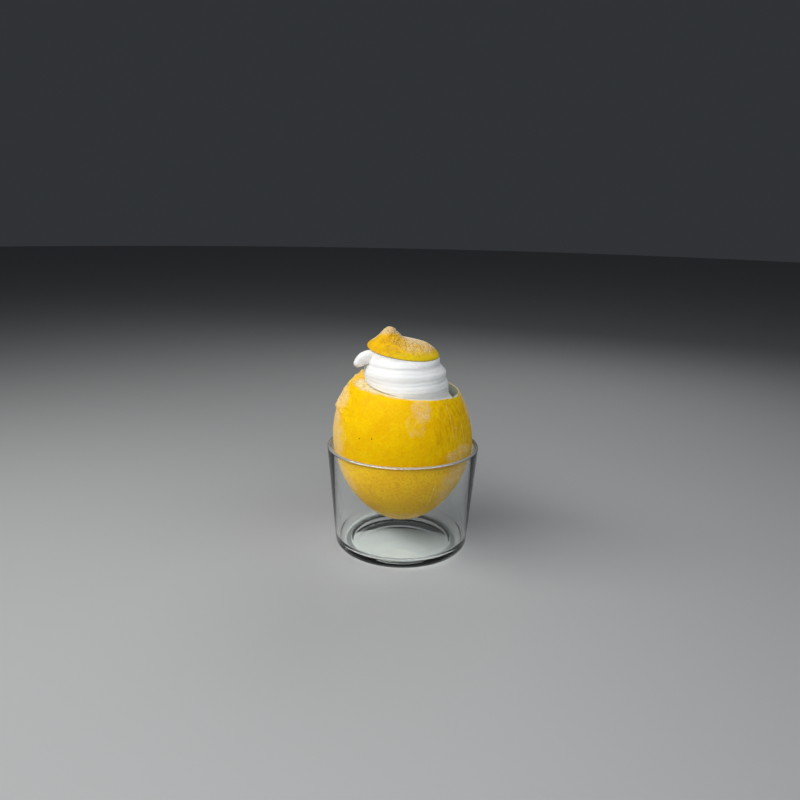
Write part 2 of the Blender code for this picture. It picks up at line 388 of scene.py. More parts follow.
def tumbler_outline():
    bead = WALL_THICKNESS / 2
    foot = outer_wall(OUTER_CORNER) - OUTER_CORNER
    ring = foot - RING_WIDTH
    inside = FLOOR_TOP + INNER_CORNER
    outline = [(0.0, PUSH_UP), (ring - PUSH_UP_STEP, PUSH_UP * 0.8)]
    outline += [(ring - PUSH_UP_STEP * 0.5, PUSH_UP * 0.42), (ring, 0.0)]
    outline += arc((foot, OUTER_CORNER), OUTER_CORNER, -90, 0, 20)
    outline += arc((outer_wall(GLASS_HEIGHT - bead) - bead, GLASS_HEIGHT - bead), bead, 0, 180, 20)
    outline += arc((outer_wall(inside) - WALL_THICKNESS - INNER_CORNER, inside), INNER_CORNER, 0, -90, 16)
    return outline + [(0.0, FLOOR_TOP)]


def clear_glass(name, white=0.0, unbent=0.0, shine=None):
    """Glass that bends the view and lets the lamps through, partly white and partly unbending."""
    made, tree, shader, _ = start_material(name)
    fill(shader, tree, {
        "Base Color": GLASS_TINT,
        "Metallic": 0.0,
        "Roughness": 0.0,
        "IOR": 1.5,
        "Specular Tint": GLASS_REFLECTS,
        "Transmission Weight": 1.0 - white,
    })
    lamp_ray = add_node(tree, "LightPath").outputs["Is Shadow Ray"]
    straight = calculate(tree, "MAXIMUM", lamp_ray, unbent)
    through = add_node(tree, "BsdfTransparent", {"Color": UNBENT_TINT}).outputs[0]
    surface = add_node(tree, "MixShader", {0: straight, 1: shader.outputs[0], 2: through}).outputs[0]
    if shine:
        gloss = add_node(tree, "BsdfAnisotropic", {"Color": RIM_SHINE_TINT, "Roughness": 0.1}).outputs[0]
        edge = add_node(tree, "Fresnel", {"IOR": shine}).outputs[0]
        surface = add_node(tree, "MixShader", {0: edge, 1: surface, 2: gloss}).outputs[0]
    tree.links.new(surface, tree.nodes["Material Output"].inputs["Surface"])
    return made


def make_tumbler():
    bm = bmesh.new()
    line = [bm.verts.new((across, 0.0, height)) for across, height in tumbler_outline()]
    edges = [bm.edges.new(pair) for pair in zip(line, line[1:])]
    bmesh.ops.spin(
        bm, geom=line + edges, cent=(0, 0, 0), axis=(0, 0, 1),
        angle=tau, steps=GLASS_SIDES, use_merge=True,
    )
    bmesh.ops.remove_doubles(bm, verts=bm.verts, dist=1e-6)
    bmesh.ops.recalc_face_normals(bm, faces=bm.faces)
    for face in bm.faces:
        face.material_index = int(face.calc_center_median().z > GLASS_HEIGHT - RIM_DEPTH)
    tumbler = add_piece("tumbler", bm, clear_glass("clear_glass"))
    tumbler.data.materials.append(clear_glass("rim_glass", RIM_WHITE, RIM_UNBENT, RIM_SHINE))
    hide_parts("glass_tumbler")


make_tumbler()

# %% [markdown]
# ## The form of the lemon
#
# A lemon is a ball that is squeezed towards its ends. Its outline here is a power curve, which
# is fuller than an ellipse above the girth and slightly pointed below. The hollow inside has
# an outline of its own, off centre at the cut, so that the rim is broad on the left and thin on
# the right. Both cuts are slanted planes.

# %% Lemon form
GIRTH_HEIGHT = 0.0607
LEMON_RADIUS = 0.0378
LEMON_ABOVE = (0.04486, 2.135)
LEMON_BELOW = (0.0454, 1.80)
LEMON_LEAN = -0.04
DEPTH_STRETCH = 1.028
LUMP_HEIGHT = 0.0014
LUMP_FOOT = 0.0785
LUMP_LENGTH = 0.0065
LUMP_WIDTH = radians(35)
LUMP_WAVES = ((5.0, 0.0011), (11.0, 0.0006))  # waves of its foot: how many a turn, and how high
HOLLOW_RADIUS = 0.0330
HOLLOW_ABOVE = (0.0440, 2.0)
HOLLOW_BELOW = (0.0402, 1.80)
HOLLOW_SHIFT = (0.131, -0.065)
CUT_PLANE = (0.09128, -0.0757, 0.027)
CAP_PLANE = (0.11012, -0.1249, 0.0705)
CUT_WAVES = ((172, -0.0016, 9), (157, 0.0050, 7), (133, 0.0012, 12))  # with angles in degrees


def plane_height(plane, x, y):
    return plane[0] + plane[1] * x + plane[2] * y


def turn_from(turn, middle):
    """How far a turn is from another, without its sign."""
    return abs(remainder(turn - middle, tau))


def rounded_radius(height, radius, above, below):
    """Radius of a rounded body at a height, from its girth and its two halves."""
    half, power = above if height > GIRTH_HEIGHT else below
    share = min(abs(height - GIRTH_HEIGHT) / half, 1.0)
    return radius * (1.0 - share**power) ** (1.0 / power)


def skin_point(turn, height):
    """A point of the lemon's skin, with the lump on its left shoulder."""
    lump = 1.0 - soft_step(turn_from(turn, pi), 0.3 * LUMP_WIDTH, LUMP_WIDTH)
    foot = sum((high * sin(times * (turn - pi)) for times, high in LUMP_WAVES), LUMP_FOOT)
    lump *= soft_step(height, foot - 0.001, foot + 0.001)
    lump *= LUMP_HEIGHT * exp(-max(height - LUMP_FOOT, 0.0) / LUMP_LENGTH)
    radius = rounded_radius(height, LEMON_RADIUS, LEMON_ABOVE, LEMON_BELOW) + lump
    lean = LEMON_LEAN * max(height - GIRTH_HEIGHT, 0.0)
    return Vector((lean + radius * cos(turn), radius * DEPTH_STRETCH * sin(turn), height))


def hollow_section(height):
    """Half width, half depth and centre of the hollow at a height."""
    radius = rounded_radius(height, HOLLOW_RADIUS, HOLLOW_ABOVE, HOLLOW_BELOW)
    above = max(height - GIRTH_HEIGHT, 0.0)
    return (radius, radius * DEPTH_STRETCH, HOLLOW_SHIFT[0] * above, HOLLOW_SHIFT[1] * above)


def hollow_point(turn, height):
    wide, deep, right, back = hollow_section(height)
    return Vector((right + wide * cos(turn), back + deep * sin(turn), height))


def cut_wave(turn):
    """How far the first cut's uneven outer edge rises above its plane at a turn."""
    return sum(
        height * exp(-((turn_from(turn, radians(at)) / radians(width)) ** 2))
        for at, height, width in CUT_WAVES
    )


def where_cut(side_point, turn, plane, lift):
    """The point at which a side meets a slanted plane that is raised by lift."""
    height = plane[0]
    for _ in range(8):
        x, y, _ = side_point(turn, height)
        height = plane_height(plane, x, y) + lift
    return side_point(turn, height)


print("cut on the left and on the right, in mm:", [
    round(1000 * where_cut(skin_point, turn, CUT_PLANE, 0.0).z, 1) for turn in (pi, 0.0)
])

# %% [markdown]
# ## Where the frost lies
#
# The frost is not even. It fills a band down the left side, sits on the lump and round the cut,
# and has crept up from the lowest point. The same pale colour lies as one patch right of the
# middle. The pale band down the right outline is partly frost and partly painted sheen. The pale
# stretch low on the right, behind the glass, is a painted reflection of the glass and not frost.
# Each of these is a soft spot in turn and height, and the frost group gives it its ragged edge.

# %% Frost on the lemon
# Turn, its half width, height, its half height, and amount, in degrees and metres
FROST_AND_PAINTED_LIGHT_SPOTS = (
    (178, 46, 0.0640, 0.0250, 0.78),
    (196, 24, 0.0570, 0.0120, 0.60),
    (174, 42, 0.0850, 0.0090, 0.80),
    (148, 30, 0.0960, 0.0060, 0.80),
    (-74, 12, 0.0860, 0.0080, 0.60),
    (-80, 12, 0.0790, 0.0080, 0.44),
    # Right outline: partly frost, partly painted sheen
    (0, 20, 0.0800, 0.0180, 0.78),
    (-38, 22, 0.0610, 0.0055, 0.62),
    (-35, 30, 0.0680, 0.0110, 0.26),
    (60, 60, 0.0700, 0.0200, 0.45),
    # Painted reflection, not frost: the glass's pale veil over the lemon low on the right
    (-39, 25, 0.0420, 0.0200, 0.60),
    (205, 26, 0.0400, 0.0200, 0.60),
)


def skin_frost_and_painted_light(turn, height):
    """Amount of frost on the skin from 0 to 1, painted sheen and painted reflection included."""
    most = 0.0
    for middle, width, level, tall, amount in FROST_AND_PAINTED_LIGHT_SPOTS:
        aside = turn_from(turn, radians(middle)) / radians(width)
        above = abs(height - level) / tall
        most = max(most, amount * (1.0 - soft_step(hypot(aside, above), 0.55, 1.15)))
    creeping = 0.80 * (1.0 - soft_step(height, 0.018, 0.036))
    return max(most, creeping)


print("frost in front, left and right:", [
    round(skin_frost_and_painted_light(radians(turn), 0.065), 2) for turn in (-90, 180, 0)
])

# %% [markdown]
# ## The shell
#
# Skin, cut face and inner wall are one sheet of rings: up the outside, over the cut and down the
# hollow. They lie closest where the eye looks closest. A frozen peel isn't smooth: its dents,
# its uneven skin and its crust of frost come as relief on the finished form.

# %% Shell
SHELL_SIDES = 330
LOW_RINGS = 58
SIDE_RINGS = 84
EDGE_RINGS = 7
FACE_RINGS = 12
INNER_EDGE_RINGS = 5
WALL_RINGS = 22
BOTTOM_RINGS = 12
OUTER_EDGE = 0.0011  # how far the outer edge of the cut is rounded
INNER_EDGE = 0.0006
# Turns in degrees where pith shows past the outer edge, and how far from each that starts to
# end and has ended, in radians
WORN_EDGES = ((-165, 0.3, 1.3), (-80, 0.6, 1.2), (157, 0.1, 0.3))
WORN_RINGS = 5.0
FREE_BELOW = (0.030, 0.050)  # heights between which the relief fades out, under the glass's rim
FREE_ABOVE = (0.052, 0.066)
SHELL_DENTS = ((0.00018, 0.016, 0.0), (0.00008, 0.0055, 1.0))
SHOULDER_TEARS = ((0.0009, 0.0026, 16.0), (0.0004, 0.0011, 17.0))
SHOULDER_SUNK = 0.0004
CUT_FROST = 0.50
# How many rings lead from the lowest point to each place
TO_GIRTH = LOW_RINGS
TO_EDGE = TO_GIRTH + SIDE_RINGS
TO_FACE = TO_EDGE + EDGE_RINGS
TO_INNER_EDGE = TO_FACE + FACE_RINGS
TO_WALL = TO_INNER_EDGE + INNER_EDGE_RINGS
TO_INNER_GIRTH = TO_WALL + WALL_RINGS
SHELL_LAST = TO_INNER_GIRTH + BOTTOM_RINGS


def low_height(ring, rings, bottom):
    """Height of a ring of the rounded lower half, from its lowest point to the girth."""
    return GIRTH_HEIGHT - (GIRTH_HEIGHT - bottom) * cos(pi / 2 * ring / rings)


def cut_edges(turn):
    """The cut's outer and inner corner at a turn, and the ends of the rounding at each."""
    outer = where_cut(skin_point, turn, CUT_PLANE, cut_wave(turn))
    inner = where_cut(hollow_point, turn, CUT_PLANE, 0.0)
    width = (inner - outer).length
    start = skin_point(turn, outer.z - min(OUTER_EDGE, 0.45 * width))
    face_start = mix(outer, inner, min(OUTER_EDGE / width, 0.45))
    face_end = mix(outer, inner, 1.0 - min(INNER_EDGE / width, 0.45))
    end = hollow_point(turn, inner.z - INNER_EDGE)
    return start, outer, face_start, face_end, inner, end


EDGES_AT = {}  # the edges that are already worked out, by rounded turn


def edges_near(turn):
    """The cut's edges at one of the shell's own turns that is near this one."""
    step = round(turn / tau * SHELL_SIDES)
    if step not in EDGES_AT:
        EDGES_AT[step] = cut_edges(tau * step / SHELL_SIDES)
    return EDGES_AT[step]


def shell_place(ring, turn):
    if ring <= TO_GIRTH:
        return skin_point(turn, low_height(ring, LOW_RINGS, GIRTH_HEIGHT - LEMON_BELOW[0]))
    if ring >= TO_INNER_GIRTH:
        height = low_height(SHELL_LAST - ring, BOTTOM_RINGS, GIRTH_HEIGHT - HOLLOW_BELOW[0])
        return hollow_point(turn, height)
    start, outer, face_start, face_end, inner, end = edges_near(turn)
    if ring <= TO_EDGE:
        return skin_point(turn, mix(GIRTH_HEIGHT, start.z, (ring - TO_GIRTH) / SIDE_RINGS))
    if ring <= TO_FACE:
        return bend(start, outer, face_start, (ring - TO_EDGE) / EDGE_RINGS)
    if ring <= TO_INNER_EDGE:
        return mix(face_start, face_end, (ring - TO_FACE) / FACE_RINGS)
    if ring <= TO_WALL:
        return bend(face_end, inner, end, (ring - TO_INNER_EDGE) / INNER_EDGE_RINGS)
    return hollow_point(turn, mix(end.z, GIRTH_HEIGHT, (ring - TO_WALL) / WALL_RINGS))


def flesh(point, ring):
    """0 on the skin, 1 on the cut face and inside, with the rind worn over the edge on the left."""
    turn = atan2(point.y, point.x)
    worn = sum(
        WORN_RINGS * (1.0 - soft_step(turn_from(turn, radians(middle)), near, far))
        for middle, near, far in WORN_EDGES
    )
    worn *= 1.0 + 0.8 * lumps(point, 0.0020, 15.0)
    return soft_step(ring - worn, TO_EDGE, TO_FACE + 1)


def inside(point, ring):
    """1 on the hollow's wall, which is cooler and greener than the cut face."""
    return soft_step(ring, TO_INNER_EDGE + 1, TO_WALL + 2)


def shell_frost_and_painted_light(point, ring):
    if ring > TO_WALL:
        return 0.0
    cut = soft_step(ring, TO_EDGE, TO_FACE)
    return mix(skin_frost_and_painted_light(atan2(point.y, point.x), point.z), CUT_FROST, cut)


def shell_relief(point, ring):
    """Broad dents, the uneven skin, the crust of frost, and the torn left shoulder."""
    if ring > TO_WALL:
        return 0.0
    free = soft_step(point.z, *FREE_ABOVE) + 1.0 - soft_step(point.z, *FREE_BELOW)
    skin = 0.00003 * lumps(point, 0.0018, 2.0)
    crust = soft_step(shell_frost_and_painted_light(point, ring) + 0.5 * lumps(point, 0.004, 3.0), 0.35, 0.75)
    crust *= 0.00006 + 0.00020 * abs(lumps(point, 0.0016, 4.0))
    aside = turn_from(atan2(point.y, point.x), pi)
    shoulder = 1.0 - soft_step(aside, 0.45, 0.95)
    shoulder *= soft_step(point.z, LUMP_FOOT - 0.002, LUMP_FOOT + 0.001)
    torn = shoulder * (layered(point, SHOULDER_TEARS) - SHOULDER_SUNK)
    return min(free, 1.0) * (layered(point, SHELL_DENTS) + crust + torn) + skin


def make_shell_bm():
    bm = rolled_sheet(SHELL_LAST, SHELL_SIDES, shell_place)
    raise_relief(bm, shell_relief)
    paint(bm, "flesh", flesh)
    # This frost amount also holds the painted sheen and the painted reflection on the right
    paint(bm, "frost", shell_frost_and_painted_light)
    paint(bm, "inside", inside)
    return bm


shell_bm = make_shell_bm()
print("shell relief done:", len(shell_bm.verts), "points")

# %% [markdown]
# ## Lemon peel
#
# Yellow peel is one strong colour, so its life is in small changes: cloudy stretches that are
# deeper or paler, darker pores, thin dry streaks that run from end to end on the right, two
# pale scratches and two black specks. The dark olive of the streaks is partly painted shade
# for the right side, where the light falls off. One more pale line, low on the right behind the
# glass, is no scratch but a painted reflection of a bright line in the glass. Over it lies the
# frost, pale and slightly pink. The cut face uses the same material, turned to cream by the
# *flesh* amount, with a thin line of raw yellow rind round it.

# %% Peel material
PEEL = (1.0, 0.615, 0.0)
PEEL_DEEP = (0.94, 0.52, 0.0)
PEEL_PALE = (1.0, 0.70, 0.01)
PEEL_PORE = (0.84, 0.42, 0.0)
# Dark olive of the dry streaks, partly painted shade for the right side
DRY_STREAK_AND_SHADE = (0.64, 0.35, 0.001)
PEEL_GRAIN = (0.70, 0.34, 0.0)
FROST_TINT = (0.90, 0.68, 0.45)
FROST_WHITE = (0.96, 0.90, 0.84)
PITH = (0.86, 0.69, 0.27)
PITH_PALE = (0.90, 0.80, 0.54)
INNER_WALL = (0.76, 0.80, 0.68)
SPECK_COLOUR = (0.10, 0.04, 0.002)
SPECKS = ((-125.3, 0.0703), (-114.1, 0.0713))  # turn in degrees, and height
SPECK_SIZE = 0.00027
# Pale colour of the scratches and of the painted reflection line
SCRATCH_AND_REFLECTION_COLOUR = (0.97, 0.80, 0.30)
# Pale lines: two scratches, and at -63 low down a painted reflection of a bright line in the
# glass; turn, lowest and highest point, and half width, in degrees and metres
SCRATCHES_AND_REFLECTION = ((-46, 0.068, 0.091, 0.22), (-33, 0.063, 0.080, 0.18), (-63, 0.030, 0.048, 0.30))
LINE_WAVER = radians(5)
PORE_DEPTH = -0.5  # in the bump, where fine unevenness and frost stand up
BUMP_DISTANCE = 0.0003
PEEL_FINISH = {"IOR": 1.42, "Subsurface Radius": (1.0, 0.55, 0.05), "Sheen Roughness": 0.55}


def speck(tree, place, at, height):
    """1 on a speck of the skin and 0 just outside it."""
    inputs = {0: place, 1: skin_point(radians(at), height)}
    away = add_node(tree, "VectorMath", inputs, operation="DISTANCE").outputs["Value"]
    return fade(tree, away, SPECK_SIZE, 1.5 * SPECK_SIZE, 1.0, 0.0)


def pale_line(tree, turn, height, wobble, at, low, high, width):
    """1 on a thin wavering line from end to end of the lemon."""
    wavering = calculate(tree, "MULTIPLY_ADD", wobble, LINE_WAVER, turn)
    middle = radians(at) + LINE_WAVER / 2
    aside = calculate(tree, "ABSOLUTE", calculate(tree, "SUBTRACT", wavering, middle))
    line = fade(tree, aside, 0.4 * radians(width), 2.2 * radians(width), 1.0, 0.0)
    foot = fade(tree, height, low, low + 0.006)
    head = fade(tree, height, high - 0.004, high, 1.0, 0.0)
    return multiply(tree, line, multiply(tree, foot, head))


def peel_normal(tree, pores, fine, fine_height, crystals, crystal_height, strength):
    """The normal of peel, with sunken pores, fine unevenness and standing crystals."""
    height = multiply(tree, pores, PORE_DEPTH)
    height = calculate(tree, "MULTIPLY_ADD", fine, fine_height, height)
    height = calculate(tree, "MULTIPLY_ADD", crystals, crystal_height, height)
    return bumpy(tree, height, strength, BUMP_DISTANCE)


def lemon_peel():
    made, tree, shader, place = start_material("lemon_peel")
    x, y, z = add_node(tree, "SeparateXYZ", {0: place}).outputs
    turn = calculate(tree, "ARCTAN2", y, x)
    clouds = cloudy(tree, place, 0.012, detail=4.0)
    fine = cloudy(tree, place, 0.0022, detail=3.0)
    pores = pored(tree, place, 0.0014)

    streaks = cloudy(tree, place, 0.0016, detail=3.0, stretch=(1.0, 1.0, 0.10))
    dashes = cloudy(tree, place, 0.0011, detail=2.0, stretch=(1.0, 1.0, 0.22))
    # The right side: dry streaks there, and painted shade where the light falls off
    dry_and_shaded_side = multiply(tree, fade(tree, x, 0.0125, 0.0175), fade(tree, z, 0.050, 0.075, 0.25, 1.0))
    grain = cloudy(tree, place, 0.0010, detail=2.0)
    wobble = cloudy(tree, place, 0.010, detail=2.0)
    broken = fade(tree, fine, 0.40, 0.60, 0.25, 0.75)
    cover, crystals = frosted(tree, place, painted(tree, "frost"))
    colour = tinted(
        tree, blend(tree, fade(tree, clouds, 0.38, 0.68), PEEL, PEEL_DEEP),
        (multiply(tree, fade(tree, streaks, 0.42, 0.66), dry_and_shaded_side), 0.60, DRY_STREAK_AND_SHADE),
        (multiply(tree, fade(tree, dashes, 0.60, 0.74), dry_and_shaded_side), 0.50, PEEL_PALE),
        (pores, fade(tree, z, 0.045, 0.070, 0.85, 0.35), PEEL_PORE),
        (fade(tree, fine, 0.52, 0.72), 0.45, PEEL_PALE),
        (fade(tree, grain, 0.45, 0.66), fade(tree, z, 0.050, 0.064, 0.50, 0.12), PEEL_GRAIN),
        # Two pale scratches, and one painted reflection of a bright line in the glass
        *((pale_line(tree, turn, z, wobble, *line), broken, SCRATCH_AND_REFLECTION_COLOUR) for line in SCRATCHES_AND_REFLECTION),
        *((speck(tree, place, *spot), 1.0, SPECK_COLOUR) for spot in SPECKS),
        (cover, 0.52, FROST_TINT),
        (fade(tree, cover, 0.55, 1.0), 0.24, FROST_WHITE),
    )

    cut = painted(tree, "flesh")
    pith = blend(tree, fade(tree, fine, 0.40, 0.65), PITH, PITH_PALE)
    pith = tinted(tree, pith, (cover, 0.35, FROST_WHITE))
    pith = blend(tree, painted(tree, "inside"), pith, INNER_WALL)
    colour = blend(tree, fade(tree, cut, 0.25, 0.95), colour, pith)

    rough = fade(tree, cover, 0.0, 0.8, 0.50, 0.75)
    fill(shader, tree, {
        "Base Color": colour,
        "Roughness": calculate(tree, "MAXIMUM", rough, multiply(tree, cut, 0.7)),
        "Normal": peel_normal(tree, pores, fine, 0.45, crystals, 1.4, 0.35),
        "Specular IOR Level": 0.06,
        "Subsurface Weight": 0.12,
        "Subsurface Scale": 0.0015,
        "Sheen Weight": 0.03,
        "Sheen Tint": (1.0, 0.86, 0.72, 1.0),
        **PEEL_FINISH,
    })
    return made


shell = add_piece("lemon_body", shell_bm, lemon_peel())
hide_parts("lemon_shell")

# %% [markdown]
# ## The sorbet
#
# The sorbet fills the hollow, and above the cut it is a thick rope, piped round and round. Its
# turns lie level in front and climb at the back, where one turn becomes the next. In front the
# grooves between them are nearly smeared shut. The nozzle and the freezing leave finer lines
# along the rope, a tenth of a millimetre deep. The rope's loose end was flicked out to the left
# before the cap went on.

# %% Sorbet form
CAP_GAP = 0.0003
WALL_GAP = 0.0002
SWIRL_FOOT = 0.078
SWIRL_FREE = 0.089
EDGE_SPREAD = 1.3  # how fast it spreads over the hollow's edge, for each metre that it rises
BAND = 0.0078
BAND_JOINT = 0.0961
BAND_GROOVE = 0.0010
SMEARED_TURN = radians(-112)  # where the grooves are smeared shut
SMEARED_ENDS = (1.2, 1.75)  # how far from there they open, in radians
SMEARED_DEPTH = 0.16  # share of the groove that is left there
SORBET_FOOT_GAP = 0.0015
SORBET_DENTS = ((0.00022, 0.009, 7.0), (0.00006, 0.0025, 8.0))
# Height, half width, half depth, and centre
SWIRL_LEVELS = (
    (0.0850, 0.0222, 0.0242, 0.0020, -0.0021),
    (0.0922, 0.0223, 0.0243, 0.0015, -0.0020),
    (0.0990, 0.0221, 0.0230, 0.0004, -0.0014),
    (0.1045, 0.0196, 0.0212, -0.0003, -0.0008),
    (0.1085, 0.0184, 0.0193, -0.0002, -0.0004),
    (0.1130, 0.0175, 0.0184, -0.0006, 0.0),
)
SORBET_SIDES = 300
SORBET_LOW_RINGS = 10
SORBET_WALL_RINGS = 8
SWIRL_RINGS = 130
SORBET_TOP = SORBET_LOW_RINGS + SORBET_WALL_RINGS + SWIRL_RINGS


def swirl_section(height):
    """Half width, half depth and centre of the swirl at a height, between its named levels."""
    for low, high in zip(SWIRL_LEVELS, SWIRL_LEVELS[1:]):
        if height <= high[0]:
            break
    t = soft_step(height, low[0], high[0])
    return [mix(a, b, t) for a, b in zip(low[1:], high[1:])]


def along_rope(turn, height):
    """How many turns of the rope lie under a point, counted from a joint in front."""
    climb = soft_step(turn % tau, 0.1 * pi, 0.9 * pi)
    return (height - BAND_JOINT) / BAND - climb


def groove(turn, height):
    """Depth of the joint between two turns of the rope, nearly smeared shut in front."""
    share = along_rope(turn, height) % 1.0
    left = mix(SMEARED_DEPTH, 1.0, soft_step(turn_from(turn, SMEARED_TURN), *SMEARED_ENDS))
    return left * BAND_GROOVE * (1.0 - sqrt(1.0 - (2.0 * share - 1.0) ** 2))


def rope_lines(turn, height, point):
    """The fine lines that the nozzle draws along the rope."""
    wander = 0.10 * lumps(point, 0.012, 5.0)
    strands = sin(tau * 4.0 * (along_rope(turn, height) + wander))
    finer = sin(tau * 11.0 * (along_rope(turn, height) + wander * 1.5))
    strength = 0.6 + 0.5 * lumps(point, 0.009, 6.0)
    return strength * (0.00006 * strands + 0.00003 * finer)


def sorbet_point(turn, height):
    """A point of the sorbet's side: along the hollow's wall low down, piped turns above the cut."""
    free = soft_step(height, SWIRL_FOOT, SWIRL_FREE)
    sections = zip(hollow_section(height), swirl_section(height))
    wide, deep, right, back = [mix(a, b, free) for a, b in sections]
    cut = plane_height(CUT_PLANE, right + wide * cos(turn), back + deep * sin(turn))
    carved = groove(turn, height) * free * soft_step(height - cut, 0.0005, 0.0030)
    x = right + (wide - carved) * cos(turn)
    y = back + (deep - carved) * sin(turn)
    wide, deep, right, back = hollow_section(min(height, cut))
    room = max(height - cut, 0.0) * EDGE_SPREAD - WALL_GAP
    out = max(hypot((x - right) / (wide + room), (y - back) / (deep + room)), 1.0)
    return Vector((right + (x - right) / out, back + (y - back) / out, height))


SORBET_EDGE_AT = {}


def sorbet_place(ring, turn):
    low = SORBET_LOW_RINGS
    foot = low + SORBET_WALL_RINGS
    if ring > SORBET_TOP:
        x, y = SWIRL_LEVELS[-1][3:]
        return Vector((x, y, plane_height(CAP_PLANE, x, y) - CAP_GAP))
    if ring <= low:
        height = low_height(ring, low, GIRTH_HEIGHT - HOLLOW_BELOW[0] + SORBET_FOOT_GAP)
        x, y, _ = sorbet_point(turn, height)
        return Vector((x * min(ring, 1), y * min(ring, 1), height))
    if ring <= foot:
        return sorbet_point(turn, mix(GIRTH_HEIGHT, SWIRL_FOOT, (ring - low) / SORBET_WALL_RINGS))
    key = round(turn, 5)
    if key not in SORBET_EDGE_AT:
        SORBET_EDGE_AT[key] = where_cut(sorbet_point, turn, CAP_PLANE, -CAP_GAP).z
    return sorbet_point(turn, mix(SWIRL_FOOT, SORBET_EDGE_AT[key], (ring - foot) / SWIRL_RINGS))


def sorbet_relief(point, ring):
    if ring > SORBET_TOP:
        return 0.0
    turn = atan2(point.y, point.x)
    shown = soft_step(point.z, 0.084, 0.090)
    return shown * (rope_lines(turn, point.z, point) + layered(point, SORBET_DENTS) - 0.0001)


# %% [markdown]
# ## The rope's loose end
#
# The loose end is a tapered tube along a bent line, closed round at its tip. It is modelled by
# itself and then joined to the swirl with a Boolean union, because a real rope has no seam
# where it leaves the body. The points round the join are smoothed afterwards.

# %% Sorbet and its curl
CURL_ROOT = Vector((-0.0135, -0.0058, 0.1074))
CURL_BEND = Vector((-0.0223, -0.0074, 0.1112))
CURL_TIP = Vector((-0.0251, -0.0066, 0.1019))
CURL_ROOT_RADIUS = 0.0027
CURL_TIP_RADIUS = 0.0024
CURL_WEB = 1.4  # how far its root spreads down towards the swirl, in radii
CURL_RINGS = 60
CURL_SIDES = 44
JOIN_AT = 0.30  # how far along the curl its join with the swirl lies
JOIN_REACH = 0.0018  # how far from the join the points are smoothed
JOIN_PASSES = 6
SNOW = (0.90, 0.91, 0.92)
SNOW_WARM = (0.93, 0.935, 0.93)
SNOW_GRAIN = (0.84, 0.87, 0.88)


def curl_place(ring, turn):
    """A point of the rope's loose end."""
    along = sin(pi / 2 * ring / CURL_RINGS)
    centre = bend(CURL_ROOT, CURL_BEND, CURL_TIP, along)
    forwards = mix(CURL_BEND - CURL_ROOT, CURL_TIP - CURL_BEND, along).normalized()
    upwards = forwards.cross(Vector((0, 1, 0))).normalized()
    sideways = forwards.cross(upwards)
    full = mix(CURL_ROOT_RADIUS, CURL_TIP_RADIUS, along)
    short = max(1.0 - (CURL_TIP - centre).length / full, 0.0) if ring < CURL_RINGS else 1.0
    radius = full * sqrt(1.0 - short**2) * min(ring, 1)
    webbed = 1.0 + CURL_WEB * (1.0 - along**2) * max(cos(turn), 0.0)
    point = centre + radius * (upwards * cos(turn) * webbed + sideways * sin(turn))
    return point + (point - centre) * 0.09 * lumps(point, 0.003, 9.0)


def snow_white():
    made, tree, shader, place = start_material("lemon_sorbet")
    clouds = cloudy(tree, place, 0.008, detail=3.0)
    grains = cloudy(tree, place, 0.0006, detail=3.0)
    colour = blend(tree, fade(tree, clouds, 0.35, 0.7), SNOW, SNOW_WARM)
    fill(shader, tree, {
        "Base Color": tinted(tree, colour, (fade(tree, grains, 0.5, 0.8), 0.35, SNOW_GRAIN)),
        "Roughness": fade(tree, grains, 0.3, 0.7, 0.38, 0.55),
        "Normal": bumpy(tree, calculate(tree, "MULTIPLY_ADD", clouds, 0.6, grains), 0.25, 0.0002),
        "IOR": 1.34,
        "Specular IOR Level": 0.4,
        "Subsurface Weight": 0.55,
        "Subsurface Radius": (1.0, 0.95, 0.85),
        "Subsurface Scale": 0.0022,
    })
    return made


def smooth_join(bm):
    """Softens the crease between the curl and the swirl."""
    centre = bend(CURL_ROOT, CURL_BEND, CURL_TIP, JOIN_AT)
    near = [v for v in bm.verts if (v.co - centre).length < CURL_ROOT_RADIUS + JOIN_REACH]
    axes = {f"use_axis_{axis}": True for axis in "xyz"}
    for _ in range(JOIN_PASSES):
        bmesh.ops.smooth_vert(bm, verts=near, factor=0.5, **axes)
    print("points smoothed at the join:", len(near))


def make_sorbet():
    swirl_bm = rolled_sheet(SORBET_TOP + 1, SORBET_SIDES, sorbet_place)
    raise_relief(swirl_bm, sorbet_relief)
    sorbet = add_piece("sorbet_swirl", swirl_bm, snow_white())
    curl = add_mesh("curl", rolled_sheet(CURL_RINGS, CURL_SIDES, curl_place))
    joining = sorbet.modifiers.new("curl", "BOOLEAN")
    joining.operation = "UNION"
    joining.object = curl
    bpy.context.view_layer.update()
    joined = sorbet.evaluated_get(bpy.context.evaluated_depsgraph_get())
    sorbet.data = bpy.data.meshes.new_from_object(joined)
    sorbet.modifiers.clear()
    bpy.data.objects.remove(curl)
    bm = bmesh.new()
    bm.from_mesh(sorbet.data)
    smooth_join(bm)
    bm.to_mesh(sorbet.data)
    bm.free()
    sorbet.data.shade_smooth()
    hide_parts("sorbet")


make_sorbet()

# %% [markdown]
# ## The cap
#
# The cut end of the lemon is a low dome with the fruit's tip pushed to the left. It froze and
# shrank more than the rest, so it is wrinkled and pitted between the tip and the right, and it
# carries the thickest frost. Its lowest edge stayed clean and slightly green.

# %% Cap
CAP_HALF_WIDTH = 0.0191
CAP_HALF_DEPTH = 0.01975
CAP_TWIST = 0.252
CAP_CENTRE = -0.00083
CAP_DOME = 0.00544
CAP_POWERS = (2.5, 0.91)
CAP_RIM_POWER = 16
